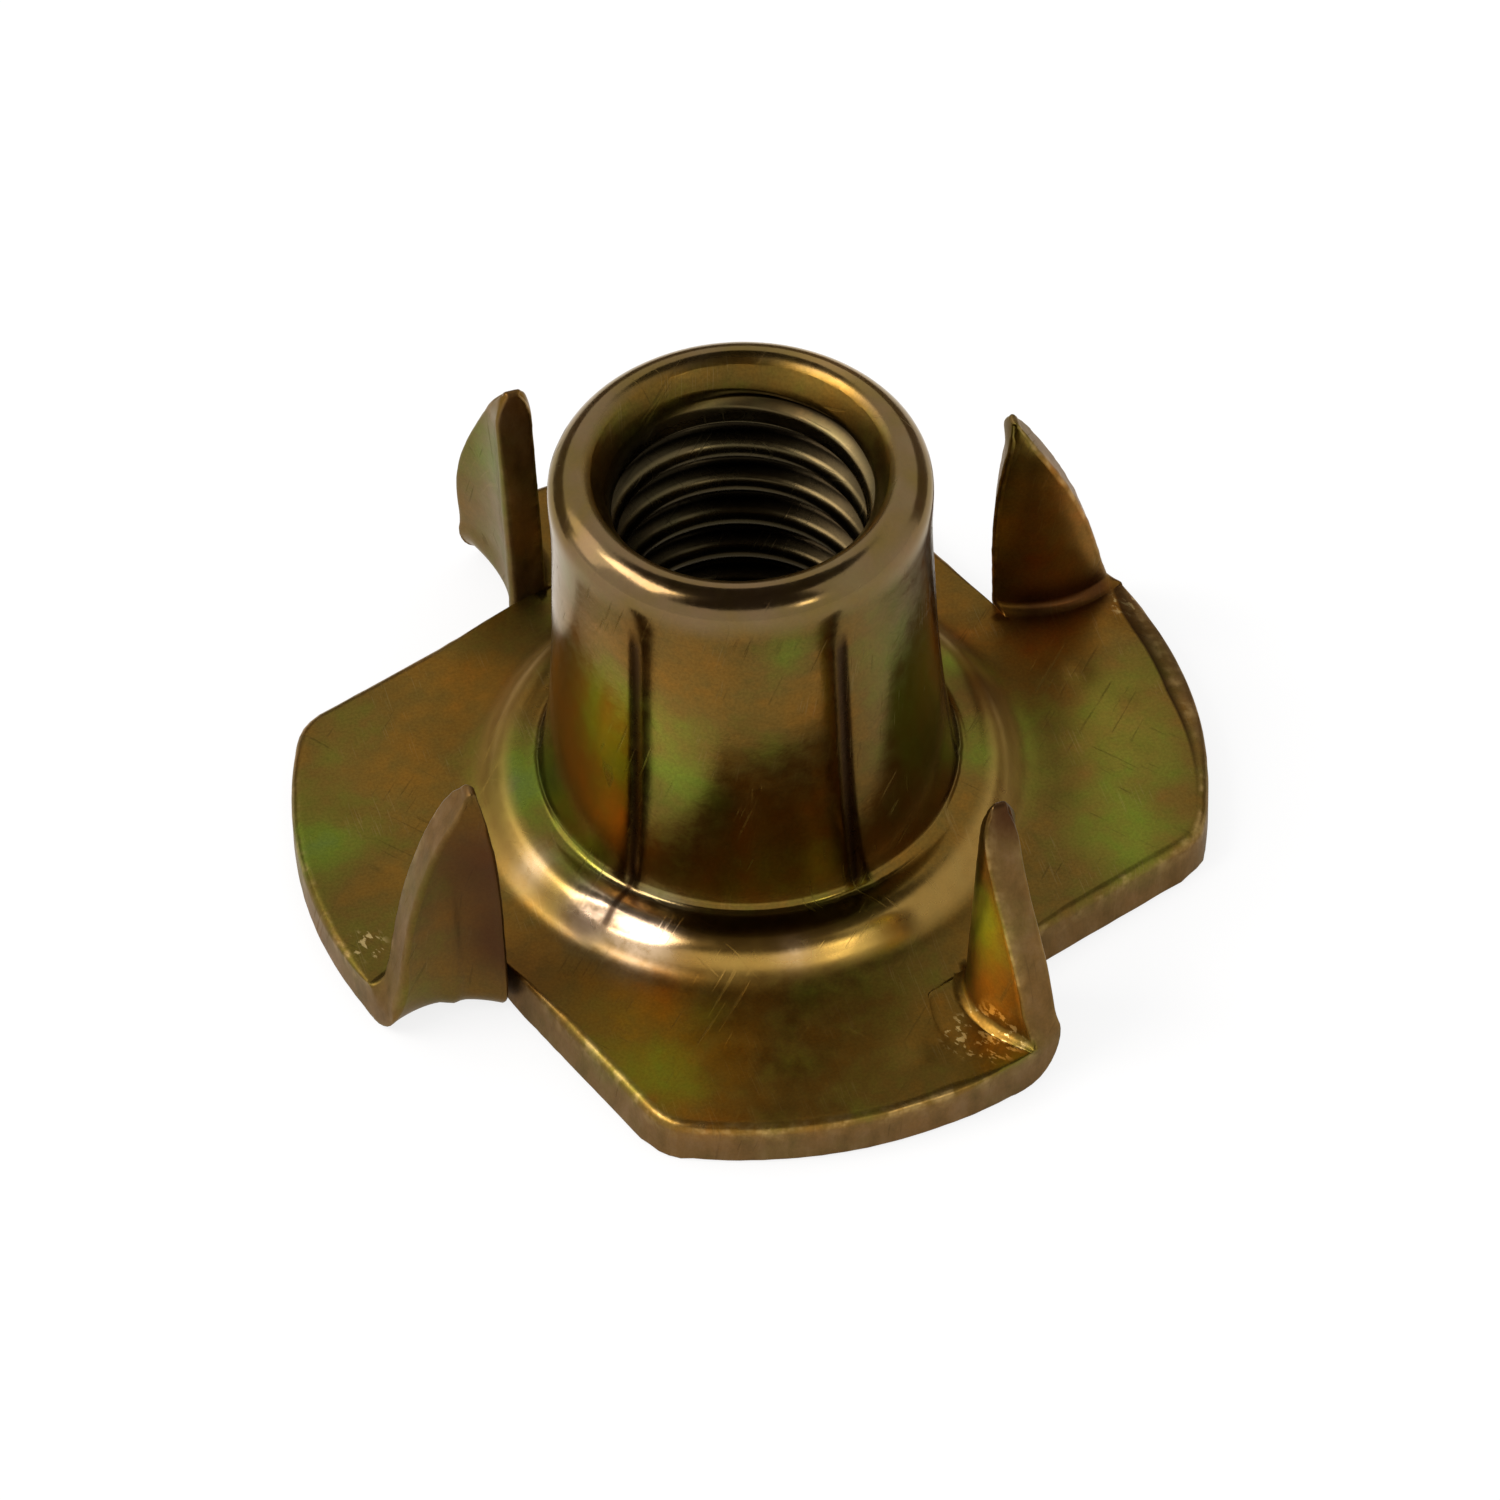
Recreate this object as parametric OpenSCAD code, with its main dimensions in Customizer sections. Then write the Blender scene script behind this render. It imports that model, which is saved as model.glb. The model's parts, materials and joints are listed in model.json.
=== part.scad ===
// Four-prong tee nut: one stamping. A disc blank is drawn up into a threaded
// barrel, its rim is sheared at four places, and the four corners are bent up
// as prongs. The barrel stands on +Z, and the flange's underside is Z = 0.

/* [Thread] */
// Nominal diameter of the metric thread, mm
thread_d = 6; // [5:0.5:6.5]
// Pitch of the thread, mm
thread_pitch = 1; // [0.7:0.05:1.2]

/* [Barrel] */
// Height over all, from the flange's underside to the top of the lip, mm
overall_h = 10.3; // [9:0.1:13]
// Wall outside the thread's nominal diameter, mm
barrel_wall = 0.83; // [0.6:0.01:1]
// How much the barrel widens on each side from its neck to its foot, mm
barrel_flare = 0.25; // [0.1:0.01:0.3]
// How much the bead under the lip stands out from the neck, mm
bead_out = 0.06; // [0.02:0.01:0.12]
// Height of the rounded lip above the bead, mm
lip_h = 0.95; // [0.7:0.05:1.2]
// Width of the lip's crown, from its highest ring out to the bead, mm
lip_out = 0.58; // [0.45:0.01:0.7]
// Width of the lip's crown, from its highest ring in to the mouth, mm
lip_in = 0.34; // [0.2:0.01:0.45]
// Slope of the mouth's lead-in, from horizontal, degrees
mouth_slope = 57; // [45:1:65]
// Number of panels round the barrel, parted by creases
panels = 6; // [4:1:8]
// Turn of the first crease from the +X axis, degrees
crease_turn = -18.5; // [-30:0.5:30]
// Width of a crease, degrees of the barrel's round
crease_w = 4.5; // [3:0.5:7]
// Depth of a crease, mm
crease_deep = 0.06; // [0.03:0.01:0.1]

/* [Collar] */
// Width of the hollow corner between the barrel's foot and the collar, mm
corner_w = 0.35; // [0.25:0.01:0.5]
// Height of the hollow corner, mm
corner_h = 0.6; // [0.4:0.05:0.8]
// Height of the collar's inner ring above the flange's top, mm
collar_h = 0.74; // [0.6:0.01:0.9]
// Width of the collar's nearly flat ring, mm
collar_w = 0.54; // [0.4:0.01:0.7]
// Slope of that ring, from horizontal, degrees
collar_slope = 2; // [0:1:10]
// Width of the collar's rounded shoulder, mm
shoulder_w = 0.5; // [0.3:0.02:0.6]
// Width of the hollow sweep from the shoulder down to the flange, mm
sweep_w = 0.4; // [0.25:0.05:0.5]
// Height of that sweep, mm
sweep_h = 0.28; // [0.2:0.02:0.35]

/* [Flange] */
// Diameter of the flange, mm
flange_d = 19; // [18.4:0.1:20]
// Thickness of the sheet, mm
sheet_t = 1; // [0.9:0.05:1.1]
// Rounding of the flange's top edge, mm
edge_roll = 0.3; // [0.1:0.02:0.4]
// Break of the flange's bottom edge, mm
edge_break = 0.08; // [0.04:0.01:0.15]
// Distance of each sheared edge from the axis, mm
cut_offset = 6.95; // [6.7:0.01:7]
// Slant of each sheared edge from the fold of its lobe's prong, degrees
cut_slant = 20; // [16:1:24]
// Rounding of each lobe's leading corner, mm
lobe_round = 1.2; // [0.6:0.1:1.5]

/* [Funnel under the flange] */
// Diameter of the funnel at the flange's underside, mm
funnel_d = 9.5; // [9:0.1:9.8]
// Rounding of the funnel's edge, mm
funnel_round = 0.35; // [0.2:0.05:0.45]
// Depth of the steep drawn step behind the rounding, mm
funnel_step = 0.25; // [0.1:0.05:0.35]
// Height at which the funnel runs out into the threaded bore, mm
funnel_top = 2.4; // [2.2:0.05:2.8]

/* [Prongs] */
// Height of the prongs' tips above the flange's underside, mm
prong_h = 6.4; // [5.5:0.05:8]
// Thickness of a prong, mm
prong_t = 0.82; // [0.7:0.01:0.9]
// Distance of a prong's inner edge from the axis, along its fold, mm
prong_in = 6.32; // [6.25:0.01:6.4]
// Width of a prong above its fold, mm
prong_w = 2.32; // [2.2:0.02:2.4]
// Flare of a prong's outer edge, down to the flange's rim, mm
foot_flare = 0.12; // [0.08:0.01:0.18]
// Width of a prong's blunt tip, mm
tip_w = 0.26; // [0.15:0.01:0.4]
// How far the tip stands out from the inner edge's foot, mm
tip_out = 0.3; // [0.2:0.05:0.6]
// Height of the thinned end of the tip, mm
tip_h = 0.6; // [0.3:0.05:0.9]
// Belly of a prong's outer edge, mm
prong_belly = 0.34; // [0.2:0.01:0.45]
// Distance of a prong's front face from the axis, across its fold, mm
prong_off = 3; // [2.9:0.01:3.1]
// Bulge of a prong's front face, mm
prong_bulge = 0.3; // [0.2:0.01:0.4]
// Hollow of a prong's rear face, mm
prong_hollow = 0.3; // [0.2:0.01:0.4]
// Rounding inside the fold, mm
fold_in = 0.25; // [0.15:0.05:0.35]
// Rounding outside the fold, mm
fold_out = 0.65; // [0.5:0.05:0.8]

/* [Hidden] */
$fn = 96;

zinc = [0.62, 0.52, 0.27];     // yellow-passivated zinc
eps = 0.01;                    // overlap that keeps joined solids one piece
skin = 0.5;                    // how far cutters reach past what they cut
arc_steps = 6;                 // chords in a quarter of a rounded section
roll_steps = 4;                // chords in a quarter of a small edge rounding
corner_turn = 65;              // how far the hollow corner turns, degrees
shoulder_fall = 0.35;          // share of the shoulder's fall that its rounding takes
sweep_toe = 0.33;              // share of the sweep that its hollow end takes
corner_cuts = 5;               // facets round a lobe's leading corner
waste_w = 1.5;                 // width of the waste beside a sheared edge
fair_slope = 1.3;              // slope of the rim where it runs into a prong's foot
fold_stop = 4;                 // how far short of a prong's outer edge its filler ends, degrees
fold_lead = 3;                 // how far the bend's cutter reaches past the inner edge, degrees
fold_past = 17;                // how far it reaches past the outer edge, degrees
prongs = 4;                    // a square blank gives one prong a corner
coarse_minor = 1.0825;         // metric thread: minor = nominal - this * pitch

bore_r = (thread_d - coarse_minor * thread_pitch) / 2;
flange_r = flange_d / 2;

// Rings of the barrel, from the top down: [radius, height]
neck_r = thread_d / 2 + barrel_wall;
bead_r = neck_r + bead_out;
bead_z = overall_h - lip_h;
crown_r = bead_r - lip_out;
mouth_r = crown_r - lip_in;
mouth_z = overall_h - lip_in / 2;
lead_z = mouth_z - (mouth_r - bore_r) * tan(mouth_slope);
neck_z = bead_z - lip_h;
foot_r = neck_r + barrel_flare;
crease_top = bead_z - lip_h / 10;

// Rings of the collar
ring_z = sheet_t + collar_h;
ring_r = foot_r + corner_w;
shoulder_r = ring_r + collar_w;
shoulder_z = ring_z - collar_w * tan(collar_slope);
sweep_r = shoulder_r + shoulder_w;
sweep_z = sheet_t + sweep_h;
plate_r = sweep_r + sweep_w;
funnel_r = funnel_d / 2;
funnel_z = funnel_round + funnel_step;

// Plan of a prong, its fold along +X
root_y = prong_off + prong_t / 4;
foot_x = prong_in + prong_w + foot_flare;
foot_z = 0.9 * sheet_t;
straight_h = 0.55 * prong_h;
tip_drop = tip_w / 3;
tip_half = 0.7 * prong_t;
prong_mid = prong_in + prong_w / 2;
front_r = arc_radius(prong_w, prong_bulge);
front_y = prong_off - prong_bulge + front_r;
rear_r = arc_radius(prong_w, prong_hollow);
rear_y = prong_off - prong_bulge + prong_t + rear_r;
tip_y = front_y + prong_t / 2 - sqrt(pow(front_r, 2) - pow(prong_w / 2 - tip_out, 2));

// Radius of the arc whose chord and rise are given
function arc_radius(chord, rise) = (pow(chord / 2, 2) + pow(rise, 2)) / (2 * rise);

// Points of an elliptical arc about c, half-axes a and b, between two angles
function arc(c, a, b, from, to, n = arc_steps) =
    [for (i = [0 : n]) let (t = from + (to - from) * i / n) c + [a * cos(t), b * sin(t)]];

// Points of the arc from p to q that bulges by rise to the right of the way
function bow(p, q, rise, n = 2 * arc_steps) =
    let (d = q - p, l = norm(d), r = arc_radius(l, rise),
         out = [d.y, -d.x] / l, c = (p + q) / 2 - out * (r - rise),
         half = asin(l / 2 / r), mid = atan2(out.y, out.x))
    [for (i = [0 : n]) let (t = mid - half + 2 * half * i / n) c + r * [cos(t), sin(t)]];

// Outside of the stamping, from the lip down to the flange's flat
function outside(in = 0) = concat(
    arc([crown_r, bead_z], lip_out - in, lip_h - in, 90, 0),
    [[neck_r - in, neck_z]],
    arc([foot_r + corner_w, ring_z + corner_h], corner_w + in, corner_h + in, 180, 180 + corner_turn),
    [[ring_r - in, ring_z - in], [shoulder_r - in, shoulder_z - in]],
    [[shoulder_r + (1 - shoulder_fall) * shoulder_w - in,
      shoulder_z - shoulder_fall * (shoulder_z - sweep_z) - in],
     [sweep_r - in, sweep_z + eps]]);

// Half section of the stamping before its rim is sheared
function section() = concat(
    [[bore_r, funnel_top], [bore_r, lead_z], [mouth_r, mouth_z]],
    outside(),
    [[sweep_r + sweep_toe * sweep_w, sheet_t + sweep_toe * sweep_h], [plate_r, sheet_t]],
    arc([flange_r - edge_roll, sheet_t - edge_roll], edge_roll, edge_roll, 90, 0),
    [[flange_r, edge_break], [flange_r - edge_break, 0]],
    arc([funnel_r + funnel_round, funnel_round], funnel_round, funnel_round, 270, 180),
    [[funnel_r, funnel_z]]);

// Repeats its children once for each prong
module each_prong() {
    for (k = [0 : prongs - 1]) rotate(k * 360 / prongs) children();
}

// Drawn disc, collar, barrel, mouth and bore
module drawn_blank() {
    rotate_extrude() polygon(section());
}

// One crease down the barrel and over the collar
module crease() {
    rotate(-crease_w / 2)
        rotate_extrude(angle = crease_w)
            polygon(concat(
                [[bead_r, crease_top]],
                [for (p = outside(crease_deep)) if (p.y < neck_z + eps) p],
                [[flange_r, sweep_z], [flange_r, crease_top]]));
}

// Plan of what is sheared away between a prong's rear and the next lobe
module gap_plan() {
    along = [-sin(cut_slant), cos(cut_slant)];
    from_axis = cut_offset * [cos(cut_slant), sin(cut_slant)];
    root = from_axis + along * (root_y - from_axis.y) / along.y;
    polygon([root, from_axis + along * flange_d, [flange_d, flange_d],
             [flange_r, root_y - fair_slope * (flange_r - foot_x)], [foot_x, root_y]]);
}

// Waste off one straight edge along X, the flange lying on its +Y side
module edge_waste(length) {
    rotate([90, 0, 90])
        linear_extrude(length)
            polygon(concat(
                [[-waste_w, -skin], [0, -skin]],
                arc([edge_roll, sheet_t - edge_roll], edge_roll, edge_roll, 180, 90, roll_steps),
                [[edge_roll, sheet_t + skin], [-waste_w, sheet_t + skin]]));
}

// A lobe's sheared edge and its rounded leading corner
module lobe_waste() {
    root_x = (root_y - cut_offset * sin(cut_slant)) / cos(cut_slant);
    rotate(cut_slant)
        translate([root_x, -cut_offset, 0])
            edge_waste(flange_r);
    reach = sqrt(pow(flange_r - lobe_round, 2) - pow(cut_offset - lobe_round, 2));
    turn = 90 - atan2(cut_offset - lobe_round, reach);
    for (i = [1 : corner_cuts])
        rotate(cut_slant)
            translate([reach, lobe_round - cut_offset, 0])
                rotate(turn * i / (corner_cuts + 1))
                    translate([-lobe_round, -lobe_round, 0])
                        edge_waste(2 * lobe_round);
}

// Plan of the prong's curved wall
module prong_plan() {
    difference() {
        intersection() {
            translate([prong_mid, front_y]) circle(front_r);
            translate([prong_in - skin, 0])
                square([prong_w + 2 * skin, front_y]);
        }
        translate([prong_mid, rear_y]) circle(rear_r);
    }
}

// Side view of the prong, its fold along X and its height along Y
function prong_side() = concat(
    arc([prong_in + prong_w, 0], foot_flare, foot_z, 0, 60, 2),
    bow([prong_in + prong_w, foot_z], [prong_in + tip_out + tip_w, prong_h - tip_drop],
        prong_belly),
    arc([prong_in + tip_out, straight_h], tip_out, prong_h - straight_h, 90, 180, 3),
    [[prong_in, 0]]);

// End view of the prong, across its fold along X and its height along Y
function prong_end() = concat(
    [[front_y, 0]],
    arc([tip_y, prong_h - tip_h], tip_half, tip_h, 0, 180),
    [[0, 0]]);

// One prong, standing on its fold
module prong() {
    intersection() {
        linear_extrude(prong_h + skin) prong_plan();
        translate([0, front_y, 0])
            rotate([90, 0, 0])
                linear_extrude(front_y)
                    polygon(prong_side());
        translate([prong_in - skin, 0, 0])
            rotate([90, 0, 90])
                linear_extrude(flange_r)
                    polygon(prong_end());
    }
}

// Filler inside the fold
module fold_fillet() {
    half = asin(prong_w / 2 / front_r);
    translate([prong_mid, front_y, sheet_t])
        rotate(270 - half)
            rotate_extrude(angle = 2 * half - fold_stop)
                polygon(concat(
                    arc([front_r + fold_in, fold_in], fold_in, fold_in, 180, 270, roll_steps),
                    [[front_r + fold_in, -fold_in], [front_r - fold_in, -fold_in],
                     [front_r - fold_in, fold_in]]));
}

// What the bend takes off below the prong's rear face
module fold_waste() {
    half = asin(prong_w / 2 / rear_r);
    translate([prong_mid, rear_y, 0])
        rotate(270 - half - fold_lead)
            rotate_extrude(angle = 2 * half + fold_lead + fold_past)
                polygon(concat(
                    arc([rear_r + fold_out, fold_out], fold_out, fold_out, 180, 270),
                    [[rear_r + fold_out, -skin], [rear_r - skin, -skin],
                     [rear_r - skin, fold_out]]));
}

module tee_nut() {
    color(zinc)
        difference() {
            union() {
                difference() {
                    drawn_blank();
                    each_prong() {
                        translate([0, 0, -skin]) linear_extrude(2 * skin + sheet_t) gap_plan();
                        lobe_waste();
                    }
                    for (i = [0 : panels - 1])
                        rotate(crease_turn + i * 360 / panels) crease();
                }
                each_prong() {
                    prong();
                    fold_fillet();
                }
            }
            each_prong() fold_waste();
        }
}

tee_nut();
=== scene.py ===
"""A four-prong tee nut in yellow-passivated zinc, on a white studio floor.

The stamping is one welded surface, built here in millimetres and scaled to metres: an
outside skin, a bore with its helical thread, a funnel, and four lobes, each of which
bends up into a prong. It stands for the plain CAD solid, whose box and mounts it is
sized from.
"""
import json
from math import asin, atan2, cos, degrees, hypot, pi, radians, sin, sqrt

import bpy
import numpy as np
from mathutils import Matrix, Vector


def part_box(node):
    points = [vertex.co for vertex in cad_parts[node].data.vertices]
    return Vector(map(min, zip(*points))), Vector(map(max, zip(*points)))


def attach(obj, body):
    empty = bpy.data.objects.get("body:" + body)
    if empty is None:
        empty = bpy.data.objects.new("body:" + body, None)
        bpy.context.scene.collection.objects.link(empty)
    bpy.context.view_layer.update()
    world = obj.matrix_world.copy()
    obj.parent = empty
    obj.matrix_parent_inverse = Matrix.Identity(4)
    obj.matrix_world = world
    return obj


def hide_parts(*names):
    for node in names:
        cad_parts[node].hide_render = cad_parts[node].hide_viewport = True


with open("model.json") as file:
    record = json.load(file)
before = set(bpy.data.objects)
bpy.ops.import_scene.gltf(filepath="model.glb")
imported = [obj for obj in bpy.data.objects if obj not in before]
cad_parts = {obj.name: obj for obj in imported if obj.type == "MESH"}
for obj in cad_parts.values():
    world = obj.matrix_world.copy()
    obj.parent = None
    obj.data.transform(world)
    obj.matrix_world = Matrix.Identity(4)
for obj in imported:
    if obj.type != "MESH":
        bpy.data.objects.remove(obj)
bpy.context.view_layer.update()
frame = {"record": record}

MM = 0.001
CAD_HIGH = np.array(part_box("tee_nut")[1]) / MM
MOUNTS = {m["name"]: m for m in frame["record"]["mounts"]}

# ---- sizes, mm, in the CAD frame: origin on the axis at the flange's underside ----------
FLANGE_R = float(CAD_HIGH[0])
TOP_Z = float(CAD_HIGH[2])
SHEET = MOUNTS["wood_seat"]["pos_m"][2] / MM    # the plate's thickness
MINOR_R = MOUNTS["thread"]["dims"]["r_mm"]
PITCH = 1.0
MAJOR_R = MINOR_R + 0.57 * PITCH
CREST_LIFT = 0.06          # how far the thread's crests stand outside the minor radius
CREST_Z = 8.858            # height of one crest where it passes the +X axis
FORM_DEPTH = 0.51          # depth of the thread form as thread_radius() draws it
FUNNEL_TOP = 2.4           # height at which the funnel meets the bore
FUNNEL_R = 4.75            # radius at the funnel's foot
FUNNEL_Z = 0.62            # height at the funnel's foot
CUT_OFFSET = 6.95          # distance of a sheared edge from the axis
CUT_SLANT = radians(20)    # its slant from the fold of its lobe's prong
LOBE_ROUND = 1.2           # rounding of a lobe's leading corner
ROOT_N = 2.74              # where the slit beside a prong ends, across the fold
CREASES = [-140.0, -75.2, -18.5, 41.0, 101.0, 161.0]    # azimuths, degrees
CREASE_LOW = 1.74          # the creases start at this height, on the collar,
CREASE_HIGH = 9.05         # and end at this one, under the lip,
CREASE_FADE = 0.7          # having died away over this much
COLLAR_DIP = 0.085         # depth of the flattened spot on the collar
COLLAR_DIP_R = 5.18        # its distance from the axis
COLLAR_DIP_AT = -136       # its azimuth, degrees

# Outside of the stamping from the flange up to the mouth: radius, height
PROFILE = [(6.96, 1.0), (6.6, 1.0), (6.25, 1.005), (5.95, 1.03), (5.74, 1.09), (5.59, 1.19),
           (5.47, 1.32), (5.36, 1.47), (5.24, 1.6), (5.1, 1.69), (4.93, 1.735), (4.76, 1.75),
           (4.62, 1.745), (4.5, 1.742), (4.42, 1.755), (4.36, 1.8), (4.32, 1.88), (4.285, 2.0),
           (4.235, 2.25), (4.17, 2.7), (4.11, 3.2), (4.05, 3.8), (3.99, 4.6), (3.93, 5.6),
           (3.885, 6.9), (3.85, 7.9), (3.845, 8.5), (3.858, 9.0), (3.876, 9.35), (3.882, 9.62),
           (3.87, 9.79), (3.82, 9.93), (3.74, 10.04), (3.65, 10.135), (3.56, 10.21),
           (3.46, 10.268), (3.36, 10.3), (3.26, 10.31), (3.17, 10.29), (3.08, 10.235), (3.0, 10.16)]
# The rounded lead-in from there down into the thread: height, radius
LEAD_IN = [(10.16, 3.0), (10.04, 2.92), (9.92, 2.85), (9.8, 2.785), (9.69, 2.73), (9.55, 2.69),
           (9.35, 2.65), (9.05, 2.58), (8.7, 2.45), (8.4, 2.3)]
# From the funnel's foot out over its rounded lip to the flat underside: radius, height
FUNNEL_LIP = [(FUNNEL_R, 0.6), (4.76, 0.38), (4.85, 0.12), (5.02, 0.01), (5.2, 0.0), (5.8, 0.0)]

# What each prong is like, mm. Along is along its fold, across is square to it.
PRONG = dict(
    inner=6.32, width=2.32,             # along: its inner edge and its width at the foot
    tip_out=0.3, tip_width=0.26,        # along: how far out that edge ends, width at the tip
    tip_taper=0.75,                     # height over which the tip thins
    belly=0.34,                         # how far the outer edge bows out
    offset=3.0, bulge=0.3, gauge=0.82,  # across: its front face, that face's crown, thickness
    height=6.4,
    fold=0.27,                          # radius of the fold on top
    under_in=0.65, under_out=0.7,       # and underneath, at its inner and its outer end
    shift_in=0.0, shift_out=0.0,        # across: how far its two edges stand off their place
    lean=0.0, curl=0.0,                 # across: lean of the top, bow of the outer edge
    rear_roll=0.08, side_roll=0.08,     # rounding of the rear face's inner and outer edge
    foot_roll=0.0,                      # more rounding at the foot of the outer one
    back_in=0.0,                        # how far the rear face's inner edge is drawn in
    ridge=0.0)                          # height of a keel down the rear face
PRONGS = [
    dict(PRONG, inner=6.22, width=2.5, height=6.33, tip_width=0.2, tip_out=0.44, belly=0.32,
         back_in=0.26),
    dict(PRONG, shift_in=-0.4, shift_out=0.05, gauge=0.78, height=6.7, lean=-0.1, curl=0.3,
         belly=0.42, under_out=1.0, rear_roll=0.2),
    dict(PRONG, inner=6.25, width=2.34, height=6.25, shift_in=0.12, shift_out=0.1, lean=0.1,
         under_out=0.95, side_roll=0.12, foot_roll=0.12, ridge=0.09),
    dict(PRONG, shift_in=-0.28, shift_out=0.27, lean=-0.38, height=6.2, gauge=0.74,
         under_out=1.25, bulge=0.4),
]
WORN_PRONG = 0             # the lobe whose rim is rubbed, and keeps a painted dark line of shade beside it
LEANING_CUTS = (0, 3)      # the lobes whose sheared edge leans outward below


# ---- helpers ------------------------------------------------------------------------------
def smooth(x):
    """Eased step from 0 where x is 0 to 1 where x is 1."""
    x = np.clip(x, 0, 1)
    return x * x * (3 - 2 * x)


def unit(v):
    return v / (np.linalg.norm(v, axis=-1, keepdims=True) + 1e-12)


def turn_from(mark, azimuth):
    """Turn from a mark to an azimuth in degrees, -180..180."""
    return (azimuth - mark + 180) % 360 - 180


def rounded(points, times):
    """The open polyline with its corners cut again and again, ends kept."""
    p = np.asarray(points, float)
    for _ in range(times):
        mid = np.empty((2 * len(p) - 2, p.shape[1]))
        mid[0::2] = 0.75 * p[:-1] + 0.25 * p[1:]
        mid[1::2] = 0.25 * p[:-1] + 0.75 * p[1:]
        p = np.vstack([p[:1], mid, p[-1:]])
    return p


def spaced(points, count, weight):
    """count points along the polyline, closer where weight(mid point) is high."""
    step = np.linalg.norm(np.diff(points, axis=0), axis=1)
    step = step * weight(0.5 * (points[:-1] + points[1:]))
    at = np.concatenate([[0], np.cumsum(step)])
    want = np.linspace(0, at[-1], count)
    return np.column_stack([np.interp(want, at, points[:, i]) for i in range(points.shape[1])])


def smooth_max(a, b, k):
    """The higher of two values, rounded over a blend of about k."""
    h = np.clip(0.5 + 0.5 * (a - b) / k, 0, 1)
    return b + (a - b) * h + k * h * (1 - h)


def waves(p, seed, scale, count=24):
    """Smooth noise, mostly within -0.5..0.5: sine waves in directions drawn from a seed."""
    rng = np.random.default_rng(seed)
    d = unit(rng.normal(size=(count, 3)))
    f = rng.uniform(0.6, 1.6, count) / scale
    phase = rng.uniform(0, 2 * pi, count)
    return np.sin(p @ (d * f[:, None] * 2 * pi).T + phase).mean(1) * 1.6


def turned(p, angle):
    """Points turned about the axis."""
    c, s = cos(angle), sin(angle)
    return p @ np.array([[c, s, 0], [-s, c, 0], [0, 0, 1]])


def root_point():
    """Where a sheared edge meets the slit beside the next prong, on the flange."""
    along = (ROOT_N - CUT_OFFSET * sin(CUT_SLANT)) / cos(CUT_SLANT)
    return np.array([CUT_OFFSET * cos(CUT_SLANT) - along * sin(CUT_SLANT), ROOT_N])


JOIN_R = float(hypot(*root_point()))            # lobes join the round part on this circle
ROOT_DEG = degrees(atan2(ROOT_N, root_point()[0]))


def columns():
    """Angles of the round part's columns: close at the creases, one at each root."""
    def near(a, marks, width):
        return any(abs(turn_from(mark, a)) < width for mark in marks)
    roots = [ROOT_DEG + 90 * k for k in range(4)]
    steps = [0, 0.45, 0.9, 1.4, 1.9, 2.5, 3.2, 4.4]
    close = [c + s * o for c in CREASES for o in steps for s in (-1, 1)]
    wide = [ROOT_DEG + 90 * i / 56 for i in range(4 * 56)]
    kept = roots + [a for a in close if not near(a, roots, 0.35)]
    kept += [a for a in wide if not near(a, roots, 1e-6) and not near(a, CREASES, 5.3)]
    turns = np.unique(np.round([(a - ROOT_DEG) % 360 for a in kept], 6))
    return np.append(turns, 360.0) + ROOT_DEG


ANGLES = columns()
# Masks: inside the bore, painted shade in its grooves and deep down, painted shade in a crease, on a
# rolled edge, on a sheared side
CHANNELS = ("bore", "groove", "crease", "edge", "cut")


class Skin:
    """Grids of points, each with the masks in CHANNELS, welded into one surface."""

    def __init__(self):
        self.points, self.quads, self.masks, self.count = [], [], [], 0

    def grid(self, p, flip=False, **masks):
        """Adds a grid of points; a mask that isn't named is 0 on it."""
        rows, cols = p.shape[:2]
        i = np.arange(rows * cols).reshape(rows, cols) + self.count
        q = np.stack([i[:-1, :-1], i[:-1, 1:], i[1:, 1:], i[1:, :-1]], -1).reshape(-1, 4)
        m = [np.broadcast_to(masks.get(c, 0.0), (rows, cols)).ravel() for c in CHANNELS]
        self.points.append(p.reshape(-1, 3))
        self.quads.append(q[:, ::-1] if flip else q)
        self.masks.append(np.column_stack(m))
        self.count += rows * cols

    def weld(self, reach=2e-5):
        """One surface, on which points that coincide are one and carry the mean of their masks."""
        p, q, m = (np.vstack(x) for x in (self.points, self.quads, self.masks))
        _, first, same = np.unique(np.round(p / reach).astype(np.int64), axis=0,
                                   return_index=True, return_inverse=True)
        same = same.ravel()
        share = np.bincount(same)
        m = np.column_stack([np.bincount(same, m[:, i]) / share for i in range(m.shape[1])])
        faces = []
        for a in same[q].tolist():
            b = [a[i] for i in range(4) if a[i] != a[(i + 1) % 4]]
            if len(b) >= 3 and len(set(b)) == len(b):
                faces.append(b)
        return p[first], faces, m


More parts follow.
